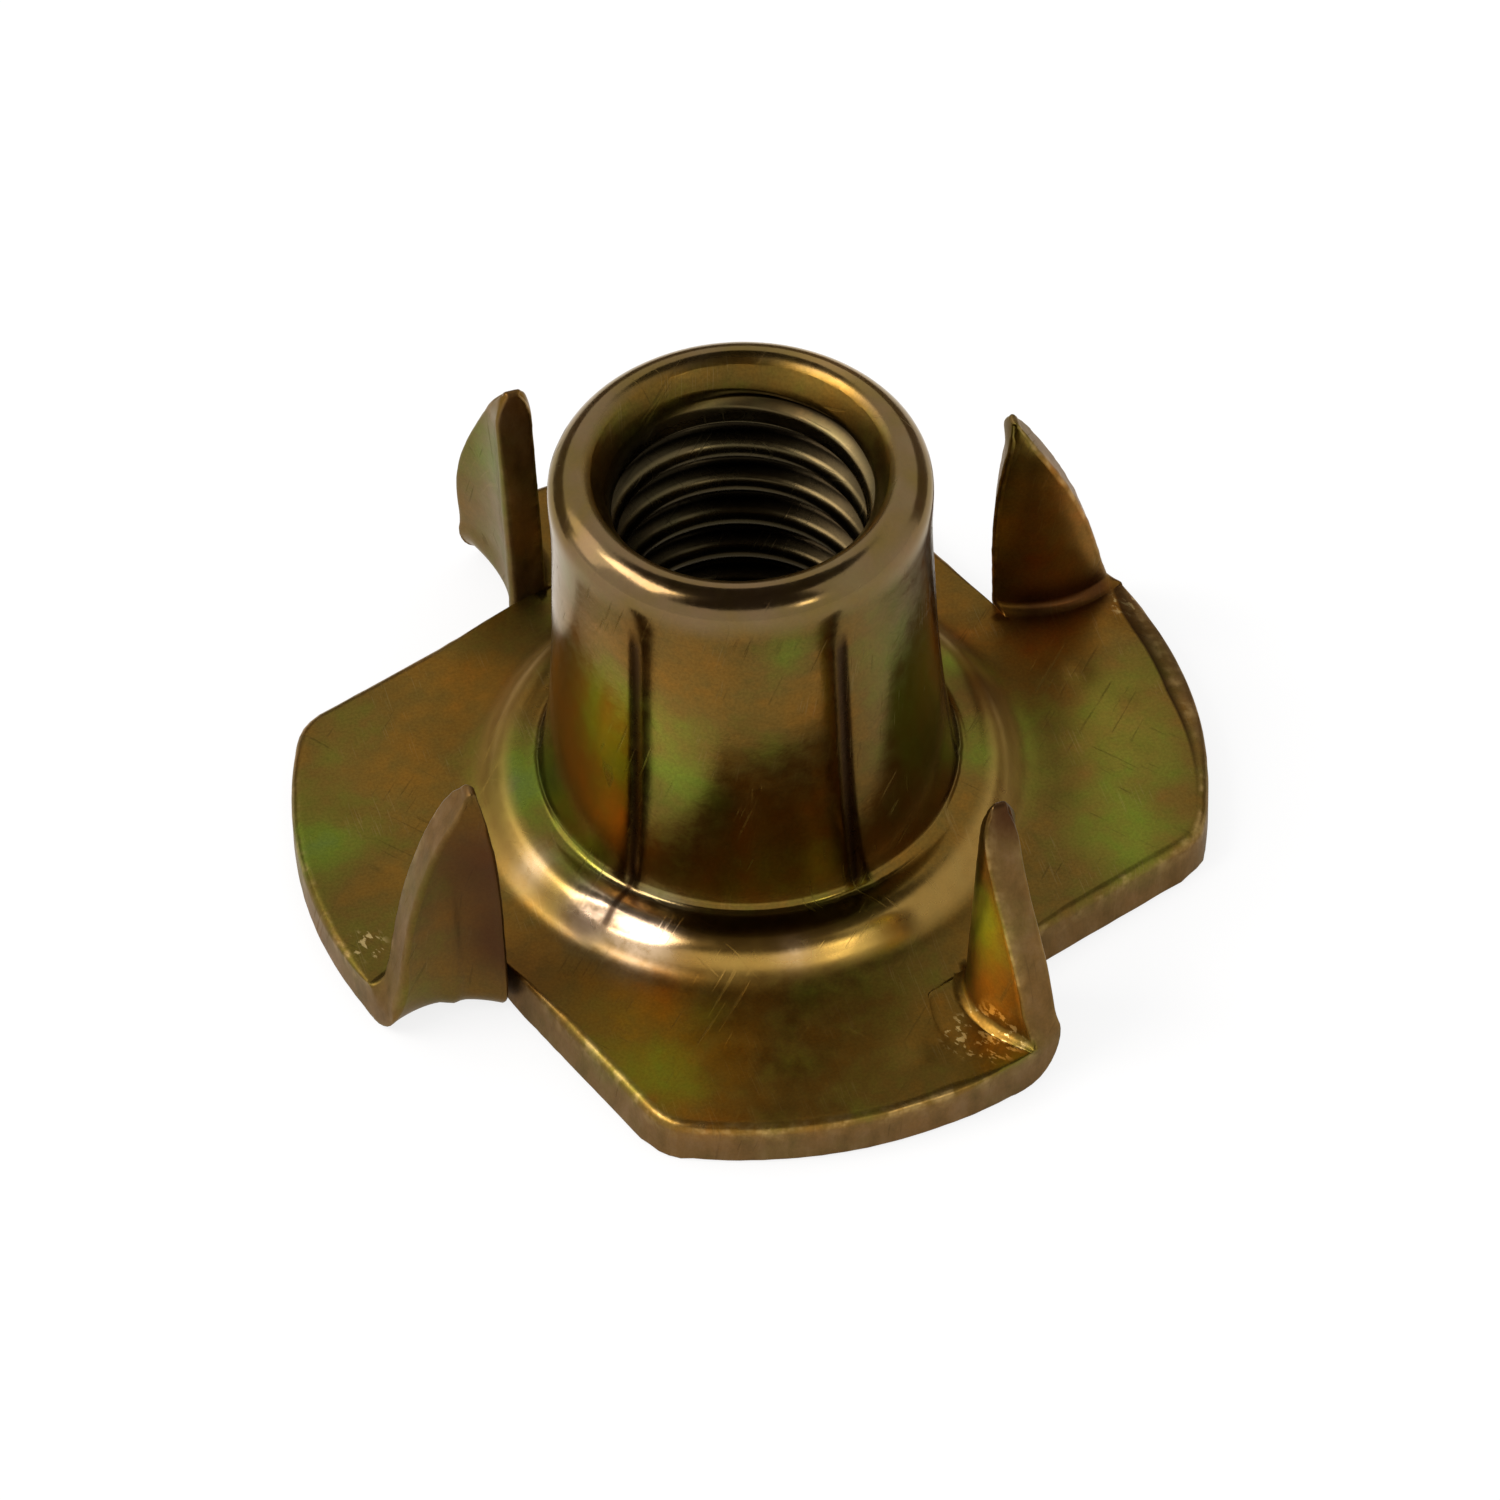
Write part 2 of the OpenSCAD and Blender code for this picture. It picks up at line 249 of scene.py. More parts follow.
# ---- the round part -----------------------------------------------------------------------
def outside(skin, rows=58):
    """Flange, collar, barrel and lip, with creases pressed in up the barrel."""
    def weight(c):
        collar = (c[:, 0] > 4.1) & (c[:, 0] < 6) & (c[:, 1] < 2.6)
        wall = (c[:, 1] > 3.2) & (c[:, 1] < 8.4)
        return 1.0 + 1.6 * collar + 1.4 * (c[:, 1] > 9.0) - 0.35 * wall
    line = spaced(rounded(PROFILE, 2), rows, weight)
    line[0] = (JOIN_R, SHEET)
    r, z = line[:, :1], line[:, 1:]
    from_crease = np.min([np.abs(turn_from(c, ANGLES)) for c in CREASES], axis=0)[None]
    below_lip = smooth((CREASE_HIGH - z) / CREASE_FADE)
    above_collar = smooth((z - CREASE_LOW) / 0.2)
    deep = 0.013 + 0.012 * np.exp(-((z - 2.2) / 0.8) ** 2)
    press = -deep * np.exp(-(from_crease / 1.7) ** 2)
    r = r + press * (below_lip * above_collar)
    a = np.radians(ANGLES)[None]
    spot = np.exp(-turn_from(COLLAR_DIP_AT, ANGLES) ** 4 / 12 ** 4)[None]
    dip = COLLAR_DIP * spot * np.exp(-((r - COLLAR_DIP_R) / 0.15) ** 2)
    p = np.stack([r * np.cos(a), r * np.sin(a), z - dip], -1)
    # painted shade darkens the creases, and the first one's painted line runs on over the collar
    over = np.exp(-turn_from(CREASES[0], ANGLES) ** 2 / 400)[None] * smooth((5.5 - r) / 0.25)
    line_width = np.where(z < 1.9, 1.1, 2.1)
    crease = np.exp(-(from_crease / line_width) ** 4) * (below_lip * np.maximum(above_collar, over))
    skin.grid(p, crease=crease)
    return line[-1]


def thread_radius(phase):
    """Radius of the thread at a phase of -0.5..0.5 from a crest: round crest, steep flanks."""
    x = np.abs((phase + 0.5) % 1.0 - 0.5)
    turn = np.radians(np.linspace(0, 62, 14))
    crest_r = 0.28 * PITCH
    at = np.concatenate([crest_r * np.sin(turn), [0.4, 0.43, 0.46, 0.5]])
    deep = np.concatenate([crest_r * (1 - np.cos(turn)), [0.435, 0.48, 0.505, FORM_DEPTH]])
    scale = (MAJOR_R - MINOR_R - CREST_LIFT) / FORM_DEPTH
    return MINOR_R + CREST_LIFT + scale * np.interp(x, at, deep)


def funnel_radius(z):
    return FUNNEL_R + (z - FUNNEL_Z) / (FUNNEL_TOP - FUNNEL_Z) * (MINOR_R - FUNNEL_R)


def funnel_height(r):
    return FUNNEL_Z + (r - FUNNEL_R) / (MINOR_R - FUNNEL_R) * (FUNNEL_TOP - FUNNEL_Z)


def bore(skin, mouth):
    """Rows that follow the helix, cut off level at the mouth and in the funnel."""
    top_r, top_z = mouth
    low_z = FUNNEL_TOP - 0.47
    half = [0.04, 0.085, 0.13, 0.175, 0.215, 0.25, 0.34, 0.42]
    phases = np.array([-x for x in half[::-1]] + [0.0] + half)
    turns = np.sort([k + p for k in range(-8, 7) for p in phases])[::-1]
    a = ANGLES[None]
    z = np.clip(CREST_Z + PITCH * (turns[:, None] + a / 360), low_z, top_z)
    r = thread_radius((z - CREST_Z) / PITCH - a / 360)
    # the thread starts in the lead-in and runs out in the funnel
    r = MINOR_R + (r - MINOR_R) * smooth((9.85 - z) / 0.6)
    lead = np.interp(z, *np.array(LEAD_IN)[::-1].T)
    r = smooth_max(r, lead, 0.05)
    # painted shade: dark in the grooves, and darker all over with depth
    groove = smooth((r - np.maximum(lead, MINOR_R + CREST_LIFT) - 0.07) / 0.12)
    groove = np.maximum(groove, 0.6 * smooth((9.2 - z) / 5.0))
    r = smooth_max(r, funnel_radius(z), 0.03)
    r = np.where(z >= top_z - 1e-9, top_r, r)
    r = np.where(z <= low_z + 1e-9, funnel_radius(low_z), r)
    # rows that lie wholly above or below are left out, but for one at each end
    inner = np.where((z.max(1) > low_z) & (z.min(1) < top_z))[0]
    rows = slice(max(inner[0] - 1, 0), inner[-1] + 2)
    turn = np.radians(a)
    p = np.stack([r * np.cos(turn), r * np.sin(turn), z], -1)[rows]
    skin.grid(p, bore=smooth((top_z - 0.5 - p[..., 2]) / 0.5), groove=groove[rows])
    return funnel_radius(low_z), low_z


def funnel(skin, start):
    """The mouth under the flange, and the flange's flat underside out to the lobes."""
    end = (JOIN_R, 0.0)
    line = [start] + [(r, funnel_height(r)) for r in (4.2, 4.66)] + FUNNEL_LIP + [end]
    line = spaced(rounded(line, 2), 24, lambda c: 1.0 + 2.0 * ((c[:, 0] > 4.5) & (c[:, 0] < 5.2)))
    line[0], line[-1] = start, end
    a = np.radians(ANGLES)[None]
    r, z = line[:, :1], line[:, 1:] + 0 * a
    skin.grid(np.stack([r * np.cos(a), r * np.sin(a), z], -1))


# ---- lobes and prongs ---------------------------------------------------------------------
FOLD, RISE, ACROSS = 10, 46, 22       # rows of the fold and of the prong, columns across


def lobe_outline():
    """Sheared edge, leading corner and rim of a lobe whose prong folds along +X.

    Returns the points and, for each, 0 on the sheared edge, 0.5 on the corner, 1 on the rim.
    """
    ahead = np.array([cos(CUT_SLANT), sin(CUT_SLANT)])
    out = np.array([sin(CUT_SLANT), -cos(CUT_SLANT)])
    root = np.array([root_point()[1], -root_point()[0]])
    reach = sqrt((FLANGE_R - LOBE_ROUND) ** 2 - (CUT_OFFSET - LOBE_ROUND) ** 2)
    middle = out * (CUT_OFFSET - LOBE_ROUND) + ahead * reach
    start, stop = atan2(out[1], out[0]), atan2(middle[1], middle[0])
    fold = asin(ROOT_N / FLANGE_R)
    steps = 60
    cut = [root + (middle + out * LOBE_ROUND - root) * i / steps for i in range(steps + 1)]
    corner = [middle + LOBE_ROUND * np.array([cos(t), sin(t)]) for t in np.linspace(start, stop, 40)[1:]]
    rim = [FLANGE_R * np.array([cos(t), sin(t)]) for t in np.linspace(stop, fold, 160)[1:]]
    kind = np.repeat([0.0, 0.5, 1.0], [len(cut), len(corner), len(rim)])
    return np.array(cut + corner + rim), kind


class Prong:
    """The curved blade of one prong: where its faces and edges are at a height.

    s is the distance from the axis along the fold, and z is the height.
    """

    def __init__(self, k):
        vars(self).update(PRONGS[k])
        self.mid, self.half = self.inner + self.width / 2, self.width / 2
        self.foot = self.inner + self.width
        self.low, self.high = 0.95, self.height - 0.09
        self.tip = self.inner + self.tip_out + self.tip_width

    def thick(self, z):
        """Thickness, which falls off towards the tip."""
        near_tip = np.clip((z - self.height + self.tip_taper) / self.tip_taper, 0, 1)
        return self.gauge * (1 - 0.62 * near_tip ** 2.2)

    def front(self, s, z):
        """Where the front face is across the fold."""
        q = np.clip((s - self.inner) / self.width, -0.2, 1.3)
        bulge = np.maximum(self.bulge * (1 - ((s - self.mid) / self.half) ** 2), -0.25)
        place = self.offset + self.shift_in * (1 - q) + self.shift_out * q
        place = place - self.lean * np.clip((z - 1.2) / 5, 0, 1.2)
        place = place + self.curl * q * np.sin(pi * np.clip((z - 1.0) / (self.height - 0.6), 0, 1))
        return place - bulge + 0.5 * (self.gauge - self.thick(z))

    def rear(self, s, z):
        """Where the rear face is across the fold."""
        keel = self.ridge * np.exp(-((s - self.mid + 0.1) / 0.16) ** 2)
        return self.front(s, z) + self.thick(z) + keel * smooth((self.height - 1.6 - z) / 2)

    def under(self, s):
        """Radius of the fold's underside."""
        q = np.clip((s - self.inner) / self.width, 0, 1)
        return self.under_in + (self.under_out - self.under_in) * q

    def outer_edge(self, z):
        """Where the bowed outer edge is along the fold."""
        t = np.linspace(0, 1, 200)
        rise, run = self.high - self.low, self.foot - self.tip
        n = unit(np.array([rise, run]))
        b = self.belly * 4 * t * (1 - t)
        return np.interp(z, self.low + rise * t + b * n[1], self.foot - run * t + b * n[0])

    def inner_edge(self, z):
        """Where the inner edge is along the fold: straight up, then outward."""
        return self.inner + self.tip_out * np.clip((z - 2.4) / (self.height - 2.4), 0, 1) ** 2.3


def blade(prong):
    """Front and rear skins of a prong and its fold, as grids from inner to outer edge by height.

    The third result is how far across each row of the grids lies, 0 to 1.
    """
    i = np.arange(FOLD + RISE + 1)
    turn = np.clip(i / FOLD, 0, 1) * pi / 2
    up = np.clip((i - FOLD) / RISE, 0, 1) ** 0.92
    start = SHEET + prong.fold
    rise = SHEET + prong.fold * (1 - np.cos(turn))
    back = prong.fold * (1 - np.sin(turn))
    z_in = np.where(i <= FOLD, rise, start + (prong.height - start) * up)
    z_out = np.where(i <= FOLD, rise, start + (prong.high - start) * up)
    # both edges run from the flange's outline into the prong's own
    w = np.clip(i / (FOLD + 5.0), 0, 1)
    rim = sqrt(FLANGE_R ** 2 - ROOT_N ** 2) - 0.25 * w
    s_out = rim + (prong.outer_edge(z_out) - rim) * smooth(w)
    root = root_point()[0]
    s_in = root + (prong.inner_edge(z_in) - root) * smooth(i / (FOLD + 1.0))
    u = np.linspace(0, 1, ACROSS + 1)
    u = 0.5 * (u + smooth(u))[:, None]
    s, z = s_in + (s_out - s_in) * u, z_in + (z_out - z_in) * u
    front = np.stack([s, prong.front(s, np.maximum(z, start)) - back, z], -1)
    # rear skin: flat, then round the fold, then up
    rear_foot = prong.rear(s, 1.2 + 0 * s)
    under = np.minimum(prong.under(s), rear_foot - ROOT_N - 0.05)
    flat = rear_foot - under - ROOT_N
    gone = np.clip(i / FOLD, 0, 1) * (flat + under * pi / 2)
    bend = np.clip((gone - flat) / under, 0, pi / 2)
    n_fold = np.where(gone < flat, ROOT_N + gone, ROOT_N + flat + under * np.sin(bend))
    z_fold = under * (1 - np.cos(bend))
    z_up = under + (z - start) * (z[:, -1:] - under) / (z[:, -1:] - start)
    k = smooth((z - 1.2) / 2.0)
    z_up = z_up * (1 - k) + z * k
    folded = i <= FOLD
    z_rear = np.where(folded, z_fold, z_up)
    n_rear = np.where(folded, n_fold, prong.rear(s, np.maximum(z_rear, 1.2)))
    arch = 0.1 * (1 - (2 * u - 1) ** 2) * smooth((i - (FOLD + RISE - 6)) / 6.0)
    front[..., 2] += arch
    return front, np.stack([s, n_rear, z_rear + arch], -1), u


def lobe_skins(k, prong):
    """Top and bottom skins of a lobe and its prong, before the edge is rolled.

    Their first columns, up to number count, fan out over the flange, and the others are
    the prong's. u is how far each row lies from the root to the outline, 0 to 1, and kind
    is lobe_outline()'s at each of the first columns.
    """
    front, rear, u = blade(prong)
    every = np.concatenate([ANGLES[:-1] + turn for turn in (-360, 0, 360)])
    first, last = ROOT_DEG + 90 * (k - 1), ROOT_DEG + 90 * k
    here = np.sort(every[(every >= first - 1e-6) & (every <= last + 1e-6)])
    a = np.radians(here - 90 * k)
    share = (a - a[0]) / (a[-1] - a[0])
    line, kind = lobe_outline()
    far = np.concatenate([[0], np.cumsum(np.linalg.norm(np.diff(line, axis=0), axis=1))])
    far /= far[-1]
    outer = np.column_stack([np.interp(share, far, line[:, i]) for i in (0, 1)])
    inner = JOIN_R * np.column_stack([np.cos(a), np.sin(a)])
    flat = inner + (outer - inner) * u[..., None]
    count = len(a) - 1
    # the last columns lean over to the fold's own end curve
    pull = np.exp(-((count - np.arange(count + 1)) * 0.17) ** 2)[None, :, None]
    skins = []
    for level, end in ((SHEET, front), (0.0, rear)):
        p = np.concatenate([flat, np.full(flat.shape[:2] + (1,), level)], -1)
        p = p + (end[:, 0] - p[:, -1])[:, None] * pull
        p[0] = np.column_stack([inner, np.full(count + 1, level)])
        skins.append(np.concatenate([p, end[:, 1:]], 1))
    return skins[0], skins[1], u, count, np.interp(share, far, kind)


def around(g, last):
    """The skin's border: along the outline, over the tip and back down to the root."""
    return np.concatenate([g[-1], g[::-1, -1][1:], g[0, ::-1][1:last + 1]])


def around_inward(g, last):
    """The way from each point of the border to its neighbour inside the skin."""
    tip = (g[:, -2] - g[:, -1])[::-1]
    back = (g[1] - g[0])[::-1]
    return np.concatenate([g[-2] - g[-1], tip[1:], back[1:last + 1]])


def edge_sizes(k, prong, top, kind, count, along, thick):
    """Roll of the upper edge, roll of the lower edge and lean of the side, all round.

    The border's points run along the flange to number count, up the prong's outer edge to
    number last, over its tip to number end and down its inner edge to the root.
    """
    n, last = len(along), top.shape[1] - 1
    j = np.arange(n)
    end = last + ACROSS
    azimuth = np.degrees(np.arctan2(along[:, 1], along[:, 0]))
    roll = np.full(n, 0.1)
    roll[:count + 1] = 0.21
    if k == WORN_PRONG:
        roll[:count + 1] += 0.28 * np.exp(-((azimuth[:count + 1] - 6) / 15) ** 2) * (kind > 0.4)
    mix = smooth((j - count + 4) / 10.0)
    roll = roll * (1 - mix) + 0.1 * mix
    roll[(j > last - 3) & (j < end + 3)] = 0.06
    low = np.full(n, 0.07)
    down = np.clip((j - end) / (n - end), 0, 1)
    low = np.where(j >= end, 0.07 + (prong.rear_roll - 0.08) * smooth(down / 0.5), low)
    low += prong.foot_roll * np.exp(-((j - count - FOLD) / 7.0) ** 2)
    side = smooth((j - count - FOLD) / 12.0) * smooth((last - j) / 10.0)
    low += (prong.side_roll - 0.08) * side
    fade = smooth(np.minimum(j, n - 1 - j) / 6.0)
    across = np.linalg.norm(top[-1] - top[0], axis=1)
    width = np.concatenate([across, np.full(ACROSS, across[-1]), across[::-1][1:n - end]])
    roll = np.minimum(np.minimum(roll, 0.42 * thick), 0.3 * width) * fade
    low = np.minimum(np.minimum(low, 0.45 * thick), 0.3 * width) * fade
    lean = np.zeros(n)
    if k in LEANING_CUTS:
        lean[:count + 1] = 0.1 * (1 - kind)
    lean[end:] = -prong.back_in * smooth(down[end:] * 5) * smooth((1 - down[end:]) * 4)
    return roll, low, lean * fade, fade


def refit(grid, border, u):
    """Moves a skin's border onto the rolled edge and carries the inside along."""
    last = grid.shape[1] - 1
    old = grid.copy()
    new = grid.copy()
    new[-1] = border[:last + 1]
    new[::-1, -1] = border[last:last + ACROSS + 1]
    inner = border[last + ACROSS:][::-1]
    new[0, last + 1 - len(inner):] = inner
    w = u[1:-1, :, None]
    new[1:-1, :-1] = (old[1:-1] + (new[-1] - old[-1]) * w + (new[0] - old[0]) * (1 - w))[:, :-1]
    return new


# Masks on the rows of a lobe's edge, from its top skin round to its bottom one
EDGE_ROWS = [0, 1, 1, 1, 0.7, 0, 0, 0.2, 0.3, 0.2, 0]
CUT_ROWS = [0, 0, 0.1, 0.4, 0.8, 1, 1, 1, 0.7, 0.3, 0]
WORN_CUT_ROWS = [0, 0.4, 0.8, 0.9, 1, 0, 0, 0, 0, 0, 0]


def lobe(skin, k):
    """One lobe and its prong: top skin, bottom skin and the rolled edge between them."""
    prong = Prong(k)
    top, bottom, u, count, kind = lobe_skins(k, prong)
    last = top.shape[1] - 1
    above, below = around(top, last - count), around(bottom, last - count)
    inward = around_inward(top, last - count)
    thick = np.linalg.norm(above - below, axis=1)
    rise = unit(above - below)
    out = unit(np.cross(unit(np.gradient(above, axis=0)), rise))
    out *= np.sign(np.median(-(out * inward).sum(1)))
    for _ in range(2):
        out[1:-1] = unit(out[:-2] + 2 * out[1:-1] + out[2:])
    roll, low, lean, fade = edge_sizes(k, prong, top, kind, count, above, thick)
    below = below + out * lean[:, None]
    # on the worn rim the upper roll is wider and shallower
    azimuth = np.degrees(np.arctan2(above[:, 1], above[:, 0]))
    on_rim = (np.arange(len(above)) <= count) * (k == WORN_PRONG)
    worn_rim = np.exp(-((azimuth - 3) / 20) ** 4) * on_rim * fade
    wide, drop = roll * (1 + 0.2 * worn_rim), roll * (1 - 0.65 * worn_rim)
    rows = []
    for x in np.linspace(0, pi / 2, 5):
        inset, sunk = wide * (1 - sin(x)), drop * (1 - cos(x))
        rows.append(above - out * inset[:, None] - rise * sunk[:, None])
    upper, lower = rows[-1], below + rise * low[:, None]
    rows += [upper + (lower - upper) * x for x in (0.33, 0.67)]
    for x in np.linspace(0, pi / 2, 4):
        inset, raised = low * (1 - cos(x)), low * (1 - sin(x))
        rows.append(below - out * inset[:, None] + rise * raised[:, None])
    band = np.array(rows)
    edge = np.array(EDGE_ROWS)[:, None] * fade
    cut = np.array(CUT_ROWS)[:, None] * fade
    cut = np.maximum(cut, np.array(WORN_CUT_ROWS)[:, None] * worn_rim)
    # painted shade, a dark line beside the worn rim: welding halves its first row, which the top skin
    # shares without it
    crease = np.zeros_like(band[..., 0])
    crease[0] = 2 * worn_rim
    crease[1] = worn_rim * smooth((azimuth + 12) / 34)
    place = radians(90 * k)
    skin.grid(turned(band, place), flip=True, edge=edge, cut=cut, crease=crease)
    skin.grid(turned(refit(top, band[0], u), place), flip=True)
    skin.grid(turned(refit(bottom, band[-1], u), place))


def stamping():
    """The whole surface: points in mm, faces, and the masks of each point."""
    skin = Skin()
    mouth = outside(skin)
    funnel(skin, bore(skin, mouth))
    for k in range(4):
        lobe(skin, k)
    return skin.weld()


def point_normals(p, faces):
    """Normals weighted by face area, so that flats stay flat beside small rolls."""
    tris = np.array([(f[0], f[i], f[i + 1]) for f in faces for i in range(1, len(f) - 1)])
    n = np.cross(p[tris[:, 1]] - p[tris[:, 0]], p[tris[:, 2]] - p[tris[:, 0]])
    total = np.zeros_like(p)
    for i in range(3):
        np.add.at(total, tris[:, i], n)
    return unit(total)


# ---- dents, waviness and what the finish is like at each point ----------------------------
# Dents in the top of the flange: x, y in mm, radius, depth
DENTS = [(8.1, -0.6, 0.35, 0.03), (7.4, 0.7, 0.25, 0.03), (8.7, 1.6, 0.4, 0.04),
         (7.9, -1.9, 0.3, 0.03), (-8.2, 1.2, 0.4, 0.03), (-7.6, 0.2, 0.3, 0.02),
         (1.2, -8.2, 0.35, 0.03), (-1.5, -7.6, 0.3, 0.02)]

# Round spots on the surface, each x, y, z in mm, reach, strength.
# Scuffed by the press:
SCUFFS = [(2.75, -8.35, 1.1, 0.6, 1.0), (2.2, -8.0, 1.1, 0.5, 1.0),
          (-8.75, -2.1, 1.05, 0.42, 1.0), (8.95, 2.35, 1.1, 0.4, 1.0)]
# Where the passivation film is thicker, or thinner below zero:
FILM_SPOTS = [
    (-2.25, -3.3, 5.3, 0.9, 0.22), (-0.1, -3.9, 8.9, 0.6, 0.3), (-3.5, -1.95, 5.2, 1.0, 0.25),
    (-1.2, -4.1, 3.0, 1.2, 0.15), (2.4, -3.1, 6.8, 1.3, 0.22), (2.9, -2.7, 4.2, 1.1, 0.14),
    (-0.5, -3.9, 6.2, 0.6, 0.12), (0.4, -4.0, 7.4, 1.1, -0.16), (-1.9, -3.7, 3.4, 0.7, -0.06),
    (8.2, -0.6, 1.0, 1.6, 0.12), (7.4, -2.6, 1.0, 1.3, 0.1), (7.1, -4.1, 1.0, 1.0, 0.25),
    (6.6, 1.8, 1.0, 1.1, -0.2), (-8.9, 0.7, 1.0, 1.0, 0.3), (-4.85, 4.3, 1.0, 1.1, -0.14),
    (-4.85, 0.8, 1.7, 1.4, 0.3), (-4.0, -0.2, 4.2, 1.1, -0.2), (-6.2, 2.6, 1.0, 1.0, -0.15),
    (-6.3, 0.4, 1.0, 0.8, -0.12), (-4.0, -5.5, 1.0, 1.1, -0.14), (-4.0, -7.0, 1.0, 0.9, 0.2),
    (-2.6, -5.9, 1.0, 0.6, 0.22), (-0.7, -6.0, 1.0, 0.4, 0.2), (1.6, -7.8, 1.0, 1.4, -0.04),
    (6.9, 0.0, 1.0, 1.5, 0.06), (-3.35, -2.1, 6.6, 1.1, 0.2), (-3.35, -2.6, 2.6, 0.8, -0.2),
    (2.5, -7.2, 4.2, 1.1, 0.22), (7.5, 2.8, 3.5, 1.6, -0.1), (2.7, -8.1, 2.2, 0.8, -0.02),
    (3.3, -7.0, 3.4, 0.9, 0.2), (-3.9, 6.6, 3.4, 2.0, 0.2), (1.2, 8.0, 1.0, 1.4, 0.2),
    (-4.4, -2.4, 1.8, 1.2, 0.2), (4.8, -1.4, 1.7, 1.1, 0.22), (5.15, 1.35, 1.5, 0.6, 0.5),
]
# Painted shade, colour darkened where shadow and dark reflections fall: on prong faces, folds and a tip,
# on the collar's shoulder and on the flange beside the collar's edge; with one more number: the share of
# it on sheared sides
SHADES = [
    (-6.5, -4.0, 4.6, 1.9, 1.0, 0.0), (-6.2, -3.9, 2.0, 1.3, 0.9, 0.0),
    (5.1, 0.3, 1.7, 0.8, 0.5, 1.0), (3.5, -6.9, 6.1, 0.6, 1.0, 1.0),
    (7.6, 2.8, 3.8, 1.9, 0.5, 0.3), (7.0, 2.75, 1.15, 0.5, 0.9, 1.0),
    (7.8, 2.75, 1.15, 0.5, 0.9, 1.0), (8.5, 2.8, 1.15, 0.4, 0.9, 1.0),
    (6.35, -0.6, 1.0, 0.5, 0.5, 0.0), (6.15, -1.5, 1.0, 0.5, 0.5, 0.0),
    (5.9, -2.4, 1.0, 0.45, 0.4, 0.0),
]
# Painted light, colour lightened where light and reflections fall:
PAINTED_LIGHTS = [
    (2.2, -7.4, 3.0, 1.5, 1.4), (-3.35, -2.1, 6.2, 1.7, 0.7), (7.4, 2.9, 3.6, 1.9, 0.65),
    (-1.7, -7.4, 1.0, 2.6, 0.95), (-3.4, -2.4, 3.1, 0.8, 0.8), (7.2, -0.8, 1.0, 2.2, 0.5),
    (5.15, 1.35, 1.5, 0.5, 0.5), (7.1, -4.0, 1.0, 1.3, 0.3), (6.6, 1.5, 1.0, 1.2, 0.3),
    (2.3, 2.05, 10.0, 0.9, 0.5), (-6.4, -1.8, 1.0, 2.0, 0.1), (-6.9, 2.2, 1.0, 2.6, 0.25),
    (-4.85, 4.3, 1.0, 1.2, 0.25), (-4.0, -0.2, 4.2, 1.1, 0.3),
]
# Where the collar is duller:
DULLS = [(-4.86, 2.6, 1.3, 1.6, 1.0), (-5.5, 0.2, 1.3, 1.2, 0.8), (-3.2, 4.5, 1.3, 1.6, 1.0),
         (5.0, 0.3, 1.7, 1.3, 0.8), (5.2, 2.0, 1.4, 1.4, 1.0), (5.0, -1.6, 1.7, 0.9, 0.5)]
# Painted highlight, the collar's colour painted near-white where the window lamp's reflection falls:
PAINTED_HIGHLIGHTS = [(-4.15, -3.05, 1.6, 0.5, 1.0), (-3.35, -3.9, 1.6, 0.6, 1.0),
        (-0.6, -5.25, 1.5, 0.3, 0.3), (-5.05, -1.5, 1.55, 0.4, 0.3)]


def falloff(p, centre, reach):
    return np.exp(-((p - np.array(centre)) ** 2).sum(1) / reach ** 2)


def spots(p, table, start=0.0):
    """What a table of round spots adds up to at each point."""
    return sum((strength * falloff(p, (x, y, z), reach) for x, y, z, reach, strength in table), start)


def worn(p, faces, masks):
    """The surface with slight waviness, dents, burrs and scuffs, still inside the CAD box."""
    n = point_normals(p, faces)
    bore, edge, cut = (masks[:, CHANNELS.index(name)] for name in ("bore", "edge", "cut"))
    plate = smooth((np.hypot(p[:, 0], p[:, 1]) - 5.6) / 0.6)
    push = 0.012 * waves(p, 1, 3.0) * (0.4 + 0.6 * plate) * (1 - bore)
    push += 0.006 * waves(p, 2, 0.9) * plate * (1 - 0.6 * cut)
    push += 0.018 * waves(p, 3, 0.45) * cut
    push += 0.012 * waves(p, 4, 0.35) * edge * plate
    up = smooth((p[:, 2] - 0.9) / 0.1) * (n[:, 2] > 0.8)
    for x, y, reach, deep in DENTS:
        push -= deep * up * np.exp(-((p[:, 0] - x) ** 2 + (p[:, 1] - y) ** 2) / reach ** 2)
    push += 0.04 * spots(p, SCUFFS) * waves(p, 5, 0.5)
    q = p + n * push[:, None]
    q[:, 2] = np.clip(q[:, 2], 0, TOP_Z)
    r = np.hypot(q[:, 0], q[:, 1])
    q[:, :2] *= np.minimum(1, FLANGE_R / np.maximum(r, 1e-9))[:, None]
    return q


def finish(p, masks):
    """What the finish is like at each point, as masks of 0..1 that the material reads, painted shade,
    painted light, a painted highlight and a painted sheen among them.
    """
    r, z = np.hypot(p[:, 0], p[:, 1]), p[:, 2]
    cut = masks[:, CHANNELS.index("cut")]
    thickness = 0.44 + 0.1 * waves(p, 11, 4.2) + 0.05 * waves(p, 12, 1.6)
    shade = sum(strength * falloff(p, (x, y, z0), reach) * (1 - (1 - on_cut) * cut)
                for x, y, z0, reach, strength, on_cut in SHADES)
    return {
        "film": np.clip(spots(p, FILM_SPOTS, thickness), 0, 1),
        "scuff": np.clip(spots(p, SCUFFS), 0, 1),
        "shade": np.clip(shade, 0, 1),
        "painted_light": np.clip(spots(p, PAINTED_LIGHTS), 0, 1) * (1 - cut),
        "dull": np.clip(spots(p, DULLS), 0, 1) * smooth((2.2 - z) / 0.4),
        "painted_highlight": np.clip(spots(p, PAINTED_HIGHLIGHTS), 0, 1),
        "plate": smooth((r - 5.3) / 0.5),
        "ring": np.exp(-((r - 5.33) / 0.34) ** 4) * (z > 0.8),
        "lip": smooth((z - 9.2) / 0.7) * smooth((r - 3.0) / 0.2),
        "mouth": smooth((z - 9.1) / 0.3) * smooth((3.25 - r) / 0.2),
    }


